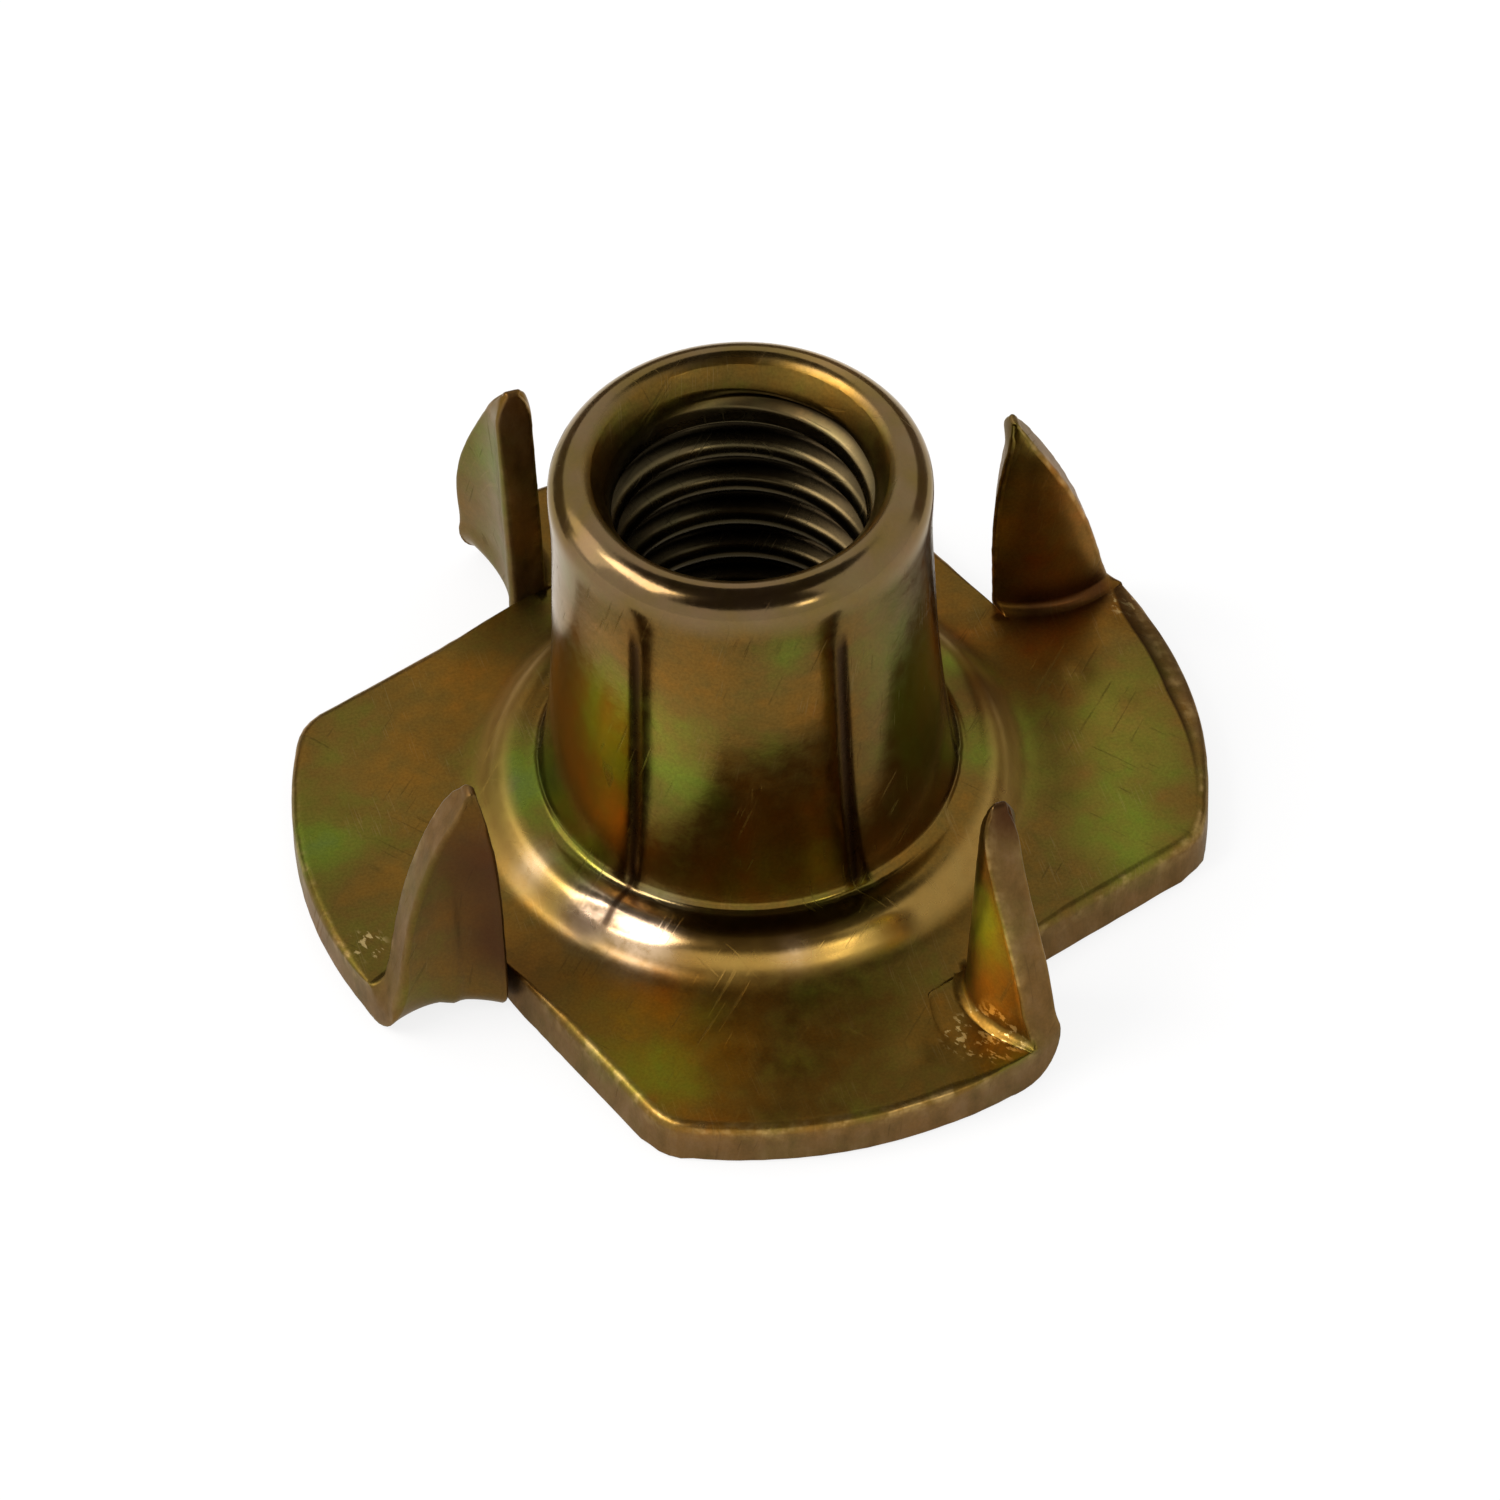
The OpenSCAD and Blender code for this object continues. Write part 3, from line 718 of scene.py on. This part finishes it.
def make_piece():
    p, faces, masks = stamping()
    p = worn(p, faces, masks)
    mesh = bpy.data.meshes.new("tee_nut_stamping")
    mesh.from_pydata((p * MM).tolist(), [], faces)
    mesh.validate()
    for name, values in [*zip(CHANNELS, masks.T), *finish(p, masks).items()]:
        mesh.attributes.new(name, "FLOAT", "POINT").data.foreach_set("value", values)
    mesh.shade_smooth()
    mesh.normals_split_custom_set_from_vertices(point_normals(p, faces).tolist())
    return linked("stamping", mesh)


def linked(name, data):
    """A new object in the scene that shows this mesh, lamp or camera."""
    thing = bpy.data.objects.new(name, data)
    bpy.context.scene.collection.objects.link(thing)
    return thing


# ---- material -----------------------------------------------------------------------------
def srgb(r, g, b):
    """A written 0-255 colour as Blender's linear RGBA."""
    return tuple(((c / 255 + 0.055) / 1.055) ** 2.4 if c > 10 else c / 3294.6 for c in (r, g, b)) + (1.0,)


class Nodes:
    """Short calls for building a shader tree."""

    def __init__(self, material):
        material.use_nodes = True
        self.tree = material.node_tree
        self.tree.nodes.clear()

    def add(self, kind, **settings):
        node = self.tree.nodes.new(kind)
        for name, value in settings.items():
            setattr(node, name, value)
        return node

    def put(self, socket, value):
        if isinstance(value, bpy.types.NodeSocket):
            self.tree.links.new(value, socket)
        else:
            socket.default_value = value

    def math(self, operation, a, b, clamp=False):
        node = self.add("ShaderNodeMath", operation=operation, use_clamp=clamp)
        self.put(node.inputs[0], a)
        self.put(node.inputs[1], b)
        return node.outputs[0]

    def times(self, a, b):
        return self.math("MULTIPLY", a, b)

    def plus(self, a, b):
        return self.math("ADD", a, b)

    def mask(self, name):
        return self.add("ShaderNodeAttribute", attribute_name=name).outputs["Fac"]

    def mapped(self, scale=(1, 1, 1), turn=(0, 0, 0)):
        """Object coordinates in millimetres, turned and stretched."""
        place = self.add("ShaderNodeTexCoord").outputs["Object"]
        node = self.add("ShaderNodeMapping", vector_type="TEXTURE")
        self.put(node.inputs["Vector"], place)
        node.inputs["Rotation"].default_value = turn
        node.inputs["Scale"].default_value = [MM / s for s in scale]
        return node.outputs["Vector"]

    def noise(self, vector, scale, detail=3.0, rough=0.5):
        node = self.add("ShaderNodeTexNoise")
        self.put(node.inputs["Vector"], vector)
        node.inputs["Scale"].default_value = scale
        node.inputs["Detail"].default_value = detail
        node.inputs["Roughness"].default_value = rough
        return node.outputs["Fac"]

    def between(self, value, low, high, to_low=0.0, to_high=1.0):
        """Eased step from to_low where value is low to to_high where it is high."""
        node = self.add("ShaderNodeMapRange", interpolation_type="SMOOTHSTEP")
        self.put(node.inputs["Value"], value)
        for name, v in (("From Min", low), ("From Max", high), ("To Min", to_low), ("To Max", to_high)):
            node.inputs[name].default_value = v
        return node.outputs["Result"]

    def ramp(self, value, stops):
        node = self.add("ShaderNodeValToRGB")
        ramp = node.color_ramp
        while len(ramp.elements) < len(stops):
            ramp.elements.new(0.5)
        for element, (at, colour) in zip(ramp.elements, stops):
            element.position, element.color = at, colour
        self.put(node.inputs["Fac"], value)
        return node.outputs["Color"]

    def tint(self, colour, mask, share, tint):
        """The colour with a share of a tint where the mask is 1."""
        return self.mix(self.times(mask, share), colour, tint)

    def mix(self, share, a, b, blend="MIX"):
        node = self.add("ShaderNodeMix", data_type="RGBA", blend_type=blend)
        for name, v in (("Factor", share), ("A", a), ("B", b)):
            socket = next(s for s in node.inputs if s.name == name and s.enabled)
            self.put(socket, v)
        return next(s for s in node.outputs if s.enabled)


def scratches(n, turn, scale, low):
    """Thin broken lines in one direction, 1 on a scratch."""
    long = n.noise(n.mapped((0.5, 14, 0.5), turn), scale, 1.0, 0.4)
    broken = n.between(n.noise(n.mapped((0.7, 0.7, 0.7), turn), 1.0), 0.5, 0.62)
    return n.times(n.between(long, low, low + 0.03), broken)


def plate_colour(n, blotch, mottle, grain, lines, rub, tears):
    """The film's drifting colour, and over it the sheared sides, wear, painted light, a painted highlight
    and sheen, and painted shade.
    """
    film = n.plus(n.mask("film"), n.times(n.math("SUBTRACT", blotch, 0.5), 0.6))
    film = n.math("ADD", film, n.times(n.math("SUBTRACT", mottle, 0.5), 0.24), clamp=True)
    colour = n.ramp(film, [
        (0.0, srgb(104, 62, 36)), (0.16, srgb(138, 84, 28)), (0.32, srgb(116, 82, 30)),
        (0.46, srgb(102, 80, 34)), (0.6, srgb(98, 92, 34)), (0.72, srgb(96, 106, 34)),
        (0.84, srgb(92, 106, 44)), (0.93, srgb(104, 102, 66)), (1.0, srgb(132, 106, 80))])
    darker = n.mix(1.0, colour, (0.8, 0.8, 0.8, 1), "MULTIPLY")
    colour = n.mix(n.between(grain, 0.3, 0.7), colour, darker)
    colour = n.tint(colour, lines, 0.22, srgb(60, 52, 24))
    colour = n.tint(colour, scratches(n, (0.2, 0.1, 1.6), 2.4, 0.64), 0.18, srgb(140, 120, 80))

    # sheared sides: tan to pinkish, with faint tears
    side = n.ramp(tears, [(0.3, srgb(84, 62, 38)), (0.5, srgb(108, 80, 50)), (0.72, srgb(124, 96, 68))])
    colour = n.tint(colour, n.mask("cut"), 0.6, side)

    # rubbed edges, scuffs and the lip show paler zinc; the collar's outer ring gets a painted gold sheen,
    # one spot on it a painted highlight, and painted light lightens chosen places
    colour = n.tint(colour, rub, 0.4, srgb(170, 142, 92))
    streaks = n.noise(n.mapped((6.5, 3.2, 4), (0, 0, 0.44)), 1.0, 3.0, 0.6)
    bright = n.times(n.between(n.mask("scuff"), 0.2, 0.7), n.between(streaks, 0.54, 0.61))
    colour = n.tint(colour, bright, 0.62, srgb(206, 180, 122))
    colour = n.tint(colour, n.mask("ring"), n.between(blotch, 0.25, 0.6, 0.35, 0.65), srgb(160, 128, 68))
    tan = n.mix(n.between(blotch, 0.35, 0.65), srgb(110, 96, 56), srgb(124, 100, 78))
    colour = n.tint(colour, n.mask("lip"), 0.6, tan)
    colour = n.tint(colour, n.mask("painted_highlight"), n.between(mottle, 0.3, 0.6, 0.5, 1.0), srgb(232, 204, 176))
    colour = n.mix(n.mask("painted_light"), colour, n.mix(1.0, colour, (2.6, 2.5, 2.1, 1), "MULTIPLY"))

    # painted shade darkens chosen places, the creases and the thread's grooves and depths; the bore has
    # its own greyer colour
    colour = n.mix(n.mask("shade"), colour, n.mix(0.85, colour, srgb(58, 30, 17)))
    colour = n.tint(colour, n.mask("crease"), 0.9, srgb(42, 24, 11))
    colour = n.tint(colour, n.mask("bore"), 0.75, srgb(88, 80, 58))
    return n.tint(colour, n.mask("groove"), 0.92, srgb(18, 14, 9))


def plate_roughness(n, mottle, lines, rub):
    """Glossy film, duller on the flange, the cut sides, the creases, the bore and the collar."""
    rough = n.plus(n.between(mottle, 0.25, 0.8, 0.13, 0.21), n.times(lines, 0.12))
    bore_and_ring = n.plus(n.mask("bore"), n.mask("ring"))
    for mask, more in ((n.mask("plate"), 0.18), (n.mask("cut"), 0.12), (n.mask("crease"), 0.12),
                       (bore_and_ring, 0.09), (n.mask("mouth"), 0.16), (n.mask("dull"), 0.16)):
        rough = n.plus(rough, n.times(mask, more))
    return n.math("SUBTRACT", rough, n.times(rub, 0.06))


def plate_bump(n, mottle, grain, lines, tears):
    """Fine relief: mottle and grain raised, scratches cut in, tears on the sheared sides."""
    height = n.plus(n.times(mottle, 0.6), n.times(grain, 0.12))
    height = n.math("SUBTRACT", height, n.times(lines, 0.5))
    height = n.plus(height, n.times(n.times(n.mask("cut"), tears), 1.3))
    bump = n.add("ShaderNodeBump")
    bump.inputs["Strength"].default_value = 0.14
    bump.inputs["Distance"].default_value = 0.03 * MM
    n.put(bump.inputs["Height"], height)
    return bump.outputs["Normal"]


def zinc_plate():
    """Yellow-passivated zinc: a thin film whose colour drifts from gold to green and pink."""
    material = bpy.data.materials.new("zinc_plate")
    n = Nodes(material)
    plain = n.mapped()
    blotch = n.noise(plain, 0.55, 3.0, 0.55)
    mottle = n.noise(plain, 2.6, 4.0, 0.6)
    grain = n.noise(plain, 16.0, 3.0, 0.6)
    lines = n.math("MAXIMUM", scratches(n, (0.3, 0.2, 0.9), 1.0, 0.66),
                   scratches(n, (0.1, 0.4, 2.3), 1.3, 0.68))
    rub = n.times(n.mask("edge"), n.between(n.noise(plain, 2.4, 3.0, 0.6), 0.45, 0.72))
    tears = n.noise(n.mapped((2.4, 2.4, 1.1)), 1.0, 4.0, 0.62)

    shader = n.add("ShaderNodeBsdfPrincipled")
    shader.inputs["Metallic"].default_value = 1.0
    shader.inputs["Specular Tint"].default_value = (0.94, 0.88, 0.78, 1.0)
    n.put(shader.inputs["Base Color"], plate_colour(n, blotch, mottle, grain, lines, rub, tears))
    n.put(shader.inputs["Roughness"], plate_roughness(n, mottle, lines, rub))
    n.put(shader.inputs["Normal"], plate_bump(n, mottle, grain, lines, tears))
    out = n.add("ShaderNodeOutputMaterial")
    n.put(out.inputs["Surface"], shader.outputs["BSDF"])
    return material


# ---- studio -------------------------------------------------------------------------------
def grid_mesh(name, points, material):
    """A mesh whose faces join the points of a grid, in metres."""
    rows, cols = points.shape[:2]
    i = np.arange(rows * cols).reshape(rows, cols)
    quads = np.stack([i[:-1, :-1], i[1:, :-1], i[1:, 1:], i[:-1, 1:]], -1).reshape(-1, 4)
    mesh = bpy.data.meshes.new(name)
    mesh.from_pydata(points.reshape(-1, 3).tolist(), [], quads.tolist())
    mesh.materials.append(material)
    return mesh


def paper_material():
    """White paper that keeps a soft shadow, and reads as white to the camera and to metal."""
    material = bpy.data.materials.new("paper")
    n = Nodes(material)
    path = n.add("ShaderNodeLightPath").outputs
    seen = n.math("MAXIMUM", path["Is Camera Ray"], n.times(path["Is Glossy Ray"], 0.45))
    seen = n.math("MAXIMUM", seen, path["Is Transmission Ray"])
    paper = n.add("ShaderNodeBsdfDiffuse")
    fibre = n.noise(n.mapped(), 0.2, 4.0)
    n.put(paper.inputs["Color"], n.mix(fibre, (0.86, 0.86, 0.86, 1), (0.9, 0.9, 0.9, 1)))
    glow = n.add("ShaderNodeEmission")
    glow.inputs["Color"].default_value = (1, 1, 1, 1)
    mix = n.add("ShaderNodeMixShader")
    n.put(mix.inputs["Fac"], n.times(seen, 0.8))
    n.put(mix.inputs[1], paper.outputs[0])
    n.put(mix.inputs[2], glow.outputs[0])
    out = n.add("ShaderNodeOutputMaterial")
    n.put(out.inputs["Surface"], mix.outputs[0])
    return material


def make_floor(size=1.6, steps=24, flat_r=0.5, gap=0.00002):
    """A sheet of paper just below the nut that dips evenly away at its far edges."""
    line = np.linspace(-size / 2, size / 2, steps + 1)
    x, y = np.meshgrid(line, line, indexing="ij")
    z = -gap - 0.02 * smooth((np.hypot(x, y) - flat_r) / 0.4)
    mesh = grid_mesh("floor", np.stack([x, y, z], -1), paper_material())
    mesh.shade_smooth()
    floor = linked("floor", mesh)


CAMERA_SIDE = -105         # azimuth of the side that the camera looks from, degrees


def direction(azimuth, elevation):
    """Unit vector; azimuth 0 is the camera's own side, positive to its right."""
    a, e = radians(CAMERA_SIDE + azimuth), radians(elevation)
    return np.array([cos(a) * cos(e), sin(a) * cos(e), sin(e)])


def cloth_material(name, dark, light):
    material = bpy.data.materials.new(name)
    n = Nodes(material)
    cloth = n.add("ShaderNodeBsdfDiffuse")
    n.put(cloth.inputs["Color"], n.mix(n.noise(n.mapped(), 0.05), dark, light))
    n.put(n.add("ShaderNodeOutputMaterial").inputs["Surface"], cloth.outputs[0])
    return material


def card(name, azimuths, elevations, distance, dark, light, steps=24):
    """A curved dark cloth in the room, which metal mirrors and the camera doesn't see."""
    rows = [[direction(a, e) * distance for a in np.linspace(*azimuths, steps + 1)]
            for e in np.linspace(*elevations, steps + 1)]
    flag = linked(name, grid_mesh(name, np.array(rows), cloth_material(name, dark, light)))
    flag.visible_camera = flag.visible_shadow = flag.visible_diffuse = False


def softbox(name, place, size, watts, colour):
    """An area lamp that faces the nut."""
    light = bpy.data.lights.new(name, "AREA")
    light.shape = "RECTANGLE"
    light.size, light.size_y = size
    light.energy, light.color = watts, colour
    lamp = linked(name, light)
    lamp.location = place
    aim = np.array([0, 0, 0.005]) - np.array(place)
    lamp.rotation_euler = Vector(aim).to_track_quat("-Z", "Y").to_euler()


def world_light(strength):
    world = bpy.data.worlds.new("studio")
    bpy.context.scene.world = world
    world.use_nodes = True
    back = world.node_tree.nodes["Background"]
    back.inputs["Color"].default_value = (1, 1, 1, 1)
    back.inputs["Strength"].default_value = strength


def make_camera():
    """The photograph's view: 48 degrees down, a little left of the front prong's fold."""
    azimuth, elevation, roll = radians(CAMERA_SIDE + 90), radians(48.04), radians(-1.76)
    distance = 0.2
    aim = np.array([0.000453, 0.001576, 0.0])
    right = np.array([cos(azimuth), sin(azimuth), 0])
    back = np.array([sin(azimuth) * cos(elevation), -cos(azimuth) * cos(elevation), sin(elevation)])
    up = np.cross(back, right)
    right, up = right * cos(roll) + up * sin(roll), up * cos(roll) - right * sin(roll)
    pose = np.eye(4)
    pose[:3, :3] = np.column_stack([right, up, back])
    pose[:3, 3] = aim + back * distance
    camera = linked("camera", bpy.data.cameras.new("camera"))
    camera.matrix_world = Matrix(pose.tolist())
    camera.data.lens, camera.data.sensor_width = 229.75, 36.0
    camera.data.clip_start = 0.01
    bpy.context.scene.camera = camera


def main():
    piece = make_piece()
    piece.data.materials.append(zinc_plate())
    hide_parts("tee_nut")
    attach(piece, "root")
    make_floor()
    make_camera()
    world_light(1.0)
    card("flag", azimuths=(-44, 46), elevations=(36, 80), distance=0.7,
         dark=(0.04, 0.035, 0.03, 1), light=(0.07, 0.06, 0.05, 1))
    card("ceiling", azimuths=(-180, 180), elevations=(60, 90), distance=0.8,
         dark=(0.05, 0.045, 0.04, 1), light=(0.08, 0.07, 0.06, 1))
    card("far_edge", azimuths=(106, 256), elevations=(0, 27), distance=0.06,
         dark=(0.16, 0.13, 0.1, 1), light=(0.22, 0.18, 0.14, 1))
    softbox("window", direction(-76, 50) * 0.6, size=(0.34, 0.2), watts=1.6, colour=(1, 0.94, 0.9))
    softbox("wall", direction(-102, 32) * 0.6, size=(0.36, 0.46), watts=0.8, colour=(1, 0.96, 0.93))
    softbox("lamp", direction(35, 30) * 0.6, size=(0.08, 0.06), watts=0.16, colour=(1, 0.95, 0.85))
    bpy.context.scene.view_settings.view_transform = "Standard"


main()
